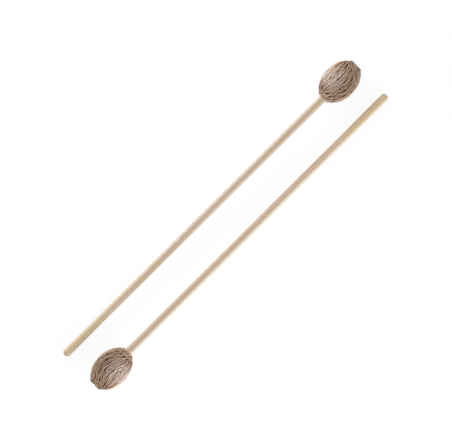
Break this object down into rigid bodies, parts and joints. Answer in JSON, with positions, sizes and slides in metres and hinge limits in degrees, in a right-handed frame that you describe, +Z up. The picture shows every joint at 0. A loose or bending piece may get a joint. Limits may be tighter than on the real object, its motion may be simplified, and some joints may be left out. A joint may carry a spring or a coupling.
{
  "type": "marimba mallet pair",
  "caption": "Matched pair of yarn-wound marimba mallets: slim birch shafts with egg-shaped wound heads over rubber cores, lying side by side, head to tail.",
  "frame": {"origin": "middle of the pair, on the surface that it lies on", "axes": "+X along the mallets towards the head of mallet 1, +Y from mallet 2 towards mallet 1, +Z up"},
  "size_m": [0.4192, 0.0782, 0.0349],
  "materials": {
    "birch": "satin lacquered birch dowel",
    "core_rubber": "matt moulded rubber",
    "latex": "stretched natural latex",
    "glue": "clear amber, glossy",
    "padding_yarn": "matt plied yarn, shaded between the outer strands",
    "outer_yarn": "matt plied wool-blend yarn, taupe"
  },
  "bodies": {
    "mallet_1": {"mallet_1_shaft": "birch", "mallet_1_core": "core_rubber", "mallet_1_latex_sleeve": "latex", "mallet_1_glue_bead": "glue", "mallet_1_yarn_padding": "padding_yarn", "mallet_1_yarn_winding": "outer_yarn", "mallet_1_crown_stitch": "outer_yarn", "mallet_1_neck_stitch": "outer_yarn"},
    "mallet_2": {"mallet_2_shaft": "birch", "mallet_2_core": "core_rubber", "mallet_2_latex_sleeve": "latex", "mallet_2_glue_bead": "glue", "mallet_2_yarn_padding": "padding_yarn", "mallet_2_yarn_winding": "outer_yarn", "mallet_2_crown_stitch": "outer_yarn", "mallet_2_neck_stitch": "outer_yarn"}
  },
  "joints": [
    {"name": "mallet_2_lift", "type": "slide", "parent": "mallet_1", "child": "mallet_2", "axis": [0, 0, 1], "range_m": [0, 0.15]}
  ]
}
